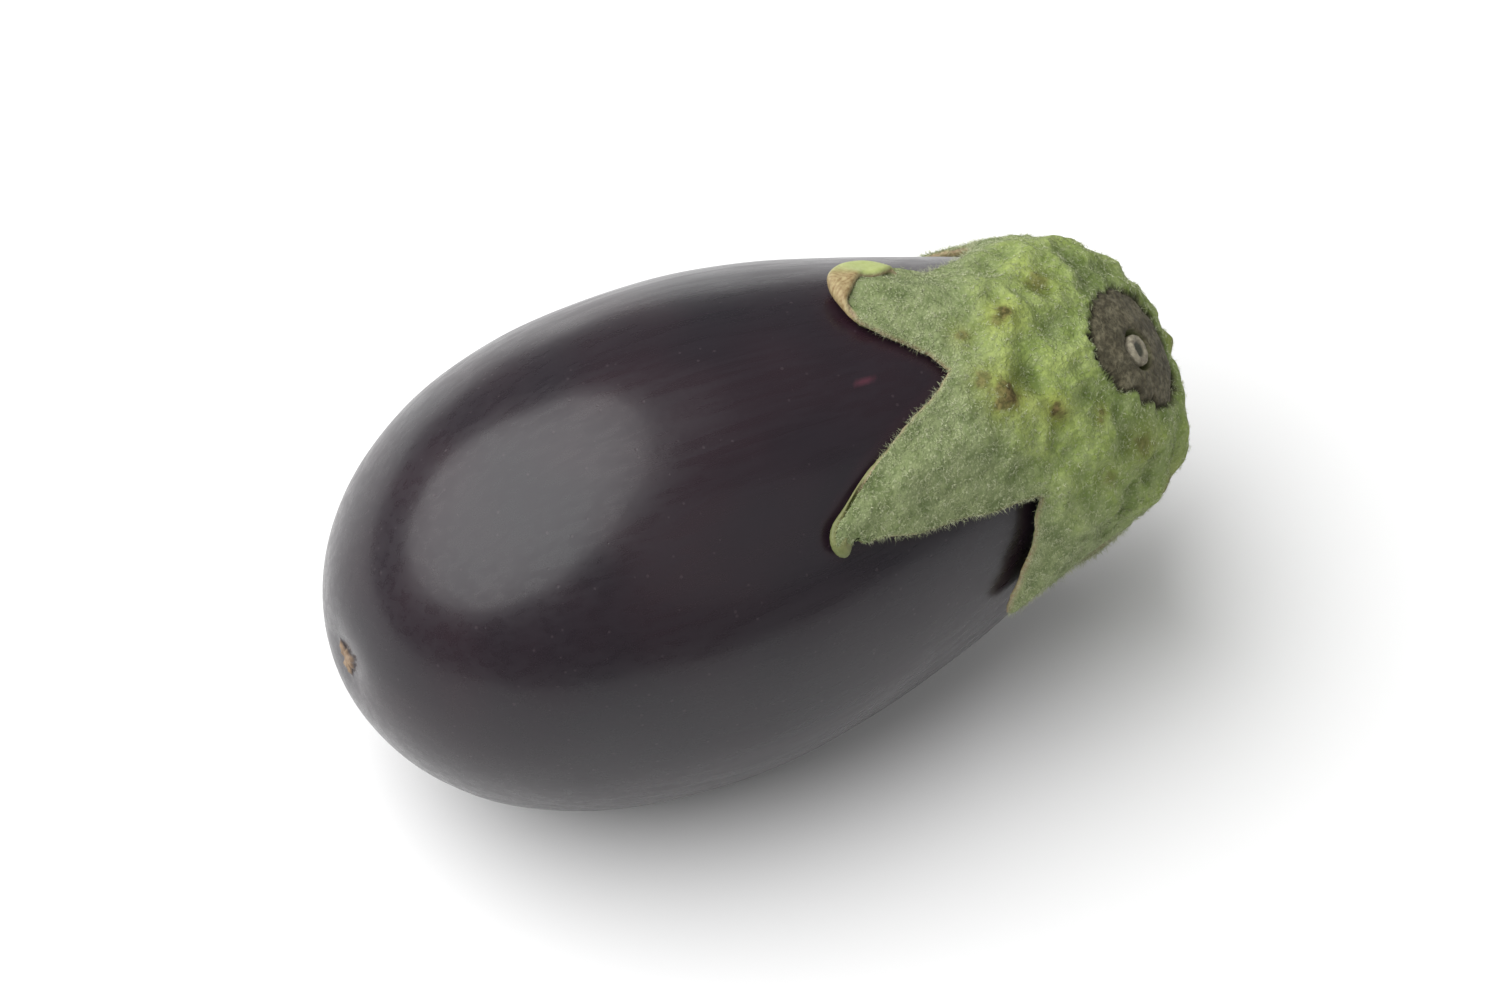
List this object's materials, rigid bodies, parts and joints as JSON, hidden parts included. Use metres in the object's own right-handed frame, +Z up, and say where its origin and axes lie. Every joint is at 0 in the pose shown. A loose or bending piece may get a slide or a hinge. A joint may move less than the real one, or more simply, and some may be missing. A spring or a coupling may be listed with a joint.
{
  "type": "mini aubergine",
  "caption": "Small egg-shaped aubergine lying on its side, glossy and near black, with a woolly green lobed calyx and a flush-cut stalk.",
  "frame": {"origin": "on the resting surface, under the middle of the whole fruit's box", "axes": "+Z up, +X from the blossom end towards the stalk, +Y to the left of +X"},
  "size_m": [0.059, 0.033, 0.0326],
  "materials": {
    "skin": "gloss",
    "calyx": "matte",
    "cut_stalk": "matte"
  },
  "bodies": {
    "root": {"fruit": "skin", "calyx": "calyx", "stem_stub": "cut_stalk"}
  },
  "joints": []
}
